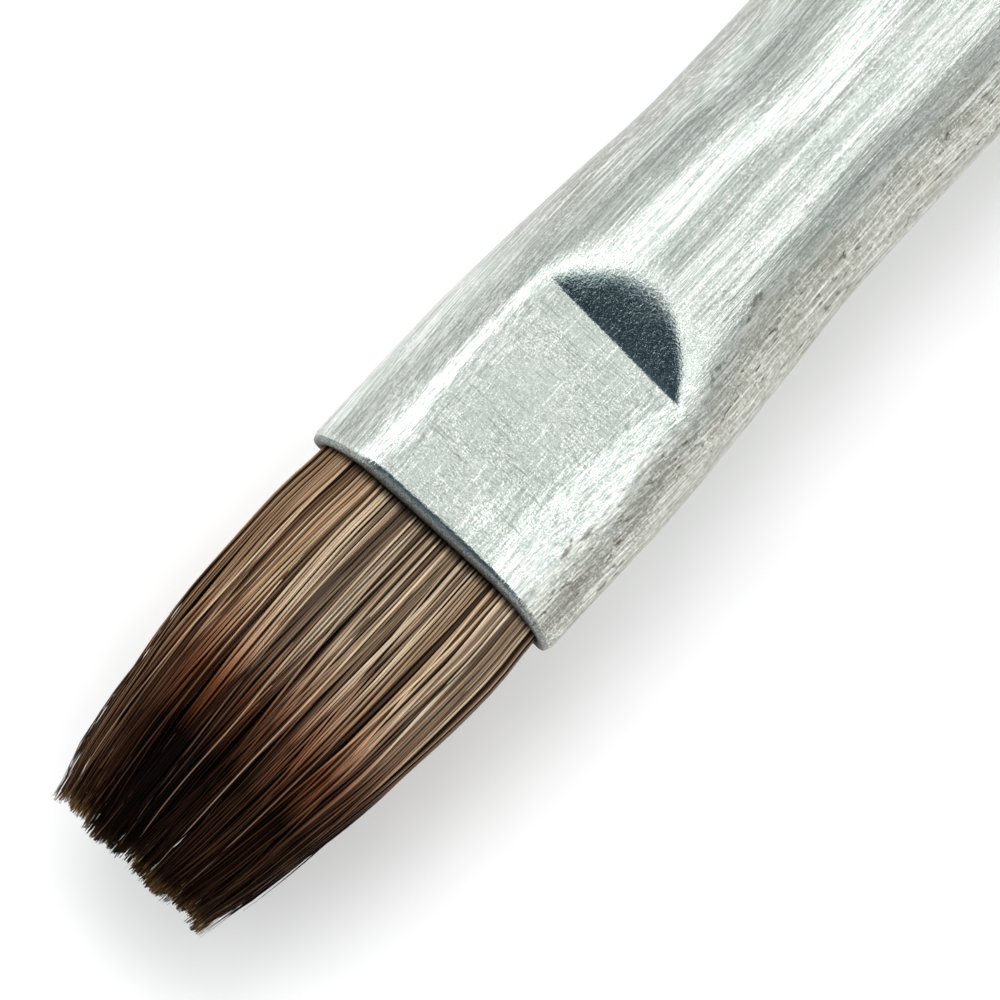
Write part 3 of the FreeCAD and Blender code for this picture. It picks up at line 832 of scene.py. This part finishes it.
def top_strands(rng, count):
    """Loose hairs lying over the others on both broad faces, some crossing them at an angle."""
    loose = []
    for _ in range(count):
        side = rng.uniform(-0.93, 0.93)
        level = rng.choice((-1.0, 1.0)) * lift_at(side) * rng.uniform(0.97, 1.04)
        loose.append((side, level, rng.gauss(0.0, 0.15) * (1.0 - 0.8 * abs(side))))
    return loose


def packed_strands(rng):
    """The tuft's own hairs, a little thinned out; the ones at the surface leave wider gaps."""
    packed = []
    for side, level in hair_roots(rng):
        surface = lift_at(side) - abs(level) < 0.08
        if rng.random() > (0.26 if surface else 0.10):
            packed.append((side, level, 0.0))
    return packed


def strand_length(rng, side):
    """The tuft's end is slightly ragged, and one hair in ten is shorter."""
    ragged = 0.10 + 0.10 * math.sin(9.0 * side + 1.0) + 0.08 * math.sin(23.0 * side)
    length = TUFT_LENGTH - max(ragged, 0.0) - abs(rng.gauss(0.0, 0.13))
    if rng.random() < 0.10:
        length -= rng.uniform(0.2, 1.4)
    return length


def gather_strands():
    """Every strand of the tuft, in pieces that bend and fan out with the CAD locks."""
    rng = random.Random(SEED)
    clumps = make_clumps(rng, 64)
    pieces = {}

    def piece_for(name):
        return pieces.setdefault(name, HairPiece(name))

    for side, level, crossing in packed_strands(rng) + top_strands(rng, TOP_STRANDS):
        length = strand_length(rng, side)
        root_part = np.linspace(HAIR_ROOT, LOCK_HINGE - TUCK, STRAND_RINGS)
        tip_part = np.linspace(LOCK_HINGE, length, STRAND_RINGS)
        distances = np.concatenate([root_part, tip_part])
        path = strand_path(rng, (side, level), clumps, distances, length)
        path[:, 1] += CROSSING_SWEEP * crossing * smooth_step(-1.0, 9.0, distances)
        pointed = 0.45 if lift_at(side) - abs(level) > 0.10 else 0.80
        base = HAIR_RADIUS * rng.uniform(0.72, 1.25)
        radius = strand_radius(base, distances, length, pointed)
        along = distances / TUFT_LENGTH
        along[-1] = 1.0
        traits = strand_traits(rng, side, level)
        angle = rng.uniform(0.0, 2 * math.pi)
        lock, layer = lock_of(side, level)
        if lock == "middle":
            piece_for(f"hair_middle_{layer}").add(path, radius, along, traits, angle)
            continue
        root_rows = slice(0, STRAND_RINGS + 1)
        root = piece_for(f"hair_root_{lock}_{layer}")
        root.add(path[root_rows], radius[root_rows], along[root_rows], traits, angle)
        rows = [STRAND_RINGS - 1, STRAND_RINGS, *range(STRAND_RINGS, len(path))]
        tip_path, tip_radius = path[rows], radius[rows]
        tip_path[1] += 0.02 * (tip_path[0] - tip_path[1])
        tip_radius[:2] *= TUCKED_SHARE
        tip = piece_for(f"hair_tip_{lock}_{layer}")
        tip.add(tip_path, tip_radius, along[rows], traits, angle)
    return pieces


def make_hair():
    """The roots bend from the ferrule to the tuft's body, and the tips ride on the locks."""
    material = hair_material()
    for name, strands in sorted(gather_strands().items()):
        piece = strands.build(material)
        _, part, place = name.split("_", 2)
        layer = name.rsplit("_", 1)[1]
        if part == "tip":
            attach(piece, "lock_" + place.removesuffix("_" + layer))
            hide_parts("lock_" + place)
            continue
        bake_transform(piece)
        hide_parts(f"root_{layer}", "mouth_hair")
        if part == "middle":
            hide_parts(f"lock_middle_{layer}")


# ---- CAD pieces that keep their shape -------------------------------------------------------
def finish_cad_pieces():
    """Better materials for the CAD nodes that stay in view or inside."""
    resin = cloudy_filler("amber_resin", (0.20, 0.09, 0.02), (0.46, 0.26, 0.08), 0.18)
    glue = cloudy_filler("wood_glue", (0.52, 0.42, 0.24), (0.72, 0.62, 0.42), 0.40)
    butts = cloudy_filler("hair_butts", (0.05, 0.03, 0.02), (0.26, 0.17, 0.11), 0.55)
    materials = {
        "handle_core": bare_wood(),
        "handle_lacquer": stained_lacquer(),
        "handle_end_dip": dipped_lacquer(),
        "tenon_glue": glue,
        "root_cement": resin,
        "hair_butts": butts,
        "binding_thread": waxed_thread(),
    }
    for node, material in materials.items():
        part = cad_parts[node]
        part.data.materials.clear()
        part.data.materials.append(material)


# ---- Floor, light and camera ----------------------------------------------------------------
MM_PER_FRAME = 22.0        # width of the view at the brush's axis
AXIS_ANGLE = math.radians(47.5)   # the brush's axis above the picture's horizontal
TILT_TO_TIP = math.radians(8.0)
TILT_TO_RIGHT = math.radians(5.0)
CAMERA_DISTANCE = 0.14     # metres
AIM_BEHIND_MOUTH = 1.75
AIM_TO_RIGHT = 0.48
SENSOR_WIDTH = 36.0
FLOOR_HALF_WIDTH = 1500.0


def make_camera():
    """The camera looks down on the flat face, a little from the tip and from the right side."""
    aim = Vector((MOUTH_X + AIM_BEHIND_MOUTH * MM, -AIM_TO_RIGHT * MM, 0.0))
    backward = Vector((-math.sin(TILT_TO_TIP), -math.sin(TILT_TO_RIGHT), 1.0)).normalized()
    up = Vector((math.sin(AXIS_ANGLE), math.cos(AXIS_ANGLE), 0.0))
    right = up.cross(backward).normalized()
    up = backward.cross(right)
    data = bpy.data.cameras.new("camera")
    data.sensor_width = SENSOR_WIDTH
    data.lens = SENSOR_WIDTH * CAMERA_DISTANCE / (MM_PER_FRAME * MM)
    data.clip_start = 0.005
    data.clip_end = 20.0
    camera = bpy.data.objects.new("camera", data)
    bpy.context.scene.collection.objects.link(camera)
    camera.location = aim + backward * CAMERA_DISTANCE
    camera.rotation_euler = Matrix((right, up, backward)).transposed().to_euler()
    bpy.context.scene.camera = camera


def make_floor():
    """A wide sheet of pale paper under the brush."""
    half = FLOOR_HALF_WIDTH
    corners = [(-half, -half, 0), (half, -half, 0), (half, half, 0), (-half, half, 0)]
    floor = new_mesh_object("floor", corners, [(0, 1, 2, 3)], floor_paper(), smooth=False)
    floor.location.z = FLOOR_Z - 0.02 * MM


def make_light():
    """One soft box above the handle end, so the shadow falls towards the hair's right side."""
    offset = Vector((0.110, 0.085, 0.300))
    data = bpy.data.lights.new("top_box", "AREA")
    data.size = 0.17
    data.energy = 0.36
    light = bpy.data.objects.new("top_box", data)
    bpy.context.scene.collection.objects.link(light)
    light.location = Vector((MOUTH_X, 0.0, 0.0)) + offset
    light.rotation_euler = offset.to_track_quat("Z", "Y").to_euler()
    light.visible_glossy = False


# How bright the studio is against the angle from straight up, in degrees towards +Y
STUDIO_BANDS = (
    (-90, 0.62), (-75, 0.66), (-60, 0.76), (-51, 1.00), (-42, 2.80), (-33, 0.95), (-22, 1.05),
    (-12, 2.60), (-4, 1.10), (5, 0.95), (14, 1.00), (23, 1.45), (34, 2.80), (42, 2.10), (50, 1.30),
    (60, 1.05), (72, 0.85), (90, 0.65),
)
STUDIO_PEAK = 2.8
FRONT_TINT = (0.016, 0.030, 0.042)   # the dark room in front of the hair and beside it
LOW_FRONT = (0.11, 0.12, 0.12)       # the pale table, low in front of the hair
BACK_DIMMING = 0.78        # the studio is dimmer over the handle than over the hair
DIFFUSE_SHARE = 0.88       # the soft box does the rest of the lighting of matt surfaces


def make_world():
    """White to the camera, and a soft studio round the brush: long bright bands, a dark front."""
    world = bpy.data.worlds.new("studio")
    world.use_nodes = True
    bpy.context.scene.world = world
    tree = NodeTree(world.node_tree)
    tree.nodes.clear()
    place = tree.add("TexCoord").outputs["Generated"]
    split = tree.add("SeparateXYZ", {"Vector": place}).outputs
    lean = tree.math("ARCTAN2", split["Y"], split["Z"])
    share = tree.span(lean, -math.pi / 2, math.pi / 2)
    stops = [((angle + 90) / 180, grey(level / STUDIO_PEAK)) for angle, level in STUDIO_BANDS]
    bands = tree.ramp(share, stops, "EASE")
    front = tree.add(
        "MapRange",
        {"Value": split["X"], "From Min": -0.52, "From Max": -0.33},
        interpolation_type="SMOOTHSTEP",
    ).outputs["Result"]
    back = tree.span(split["X"], -0.12, 0.12, 1.0, BACK_DIMMING)
    bands = tree.mix(1.0, bands, back, "MULTIPLY")
    low_front = tree.span(split["X"], -0.80, -0.97)
    front_light = tree.mix(low_front, FRONT_TINT, LOW_FRONT)
    beside = tree.span(tree.math("ABSOLUTE", split["Y"]), 0.34, 0.58)
    light = tree.mix(tree.math("MAXIMUM", front, beside), front_light, bands)
    ray = tree.add("LightPath").outputs
    dimmed = tree.span(ray["Is Diffuse Ray"], 0.0, 1.0, STUDIO_PEAK, STUDIO_PEAK * DIFFUSE_SHARE)
    lighting = tree.add("Background", {"Color": light, "Strength": dimmed})
    seen = tree.add("Background", {"Color": (1.0, 1.0, 1.0, 1.0)})
    choice = tree.add(
        "MixShader", {0: ray["Is Camera Ray"], 1: lighting.outputs[0], 2: seen.outputs[0]}
    )
    output = tree.add("OutputWorld")
    tree.links.new(choice.outputs[0], output.inputs["Surface"])


make_camera()
make_floor()
make_light()
make_world()
make_ferrule()
make_hair()
finish_cad_pieces()
bpy.context.scene.view_settings.view_transform = "Standard"
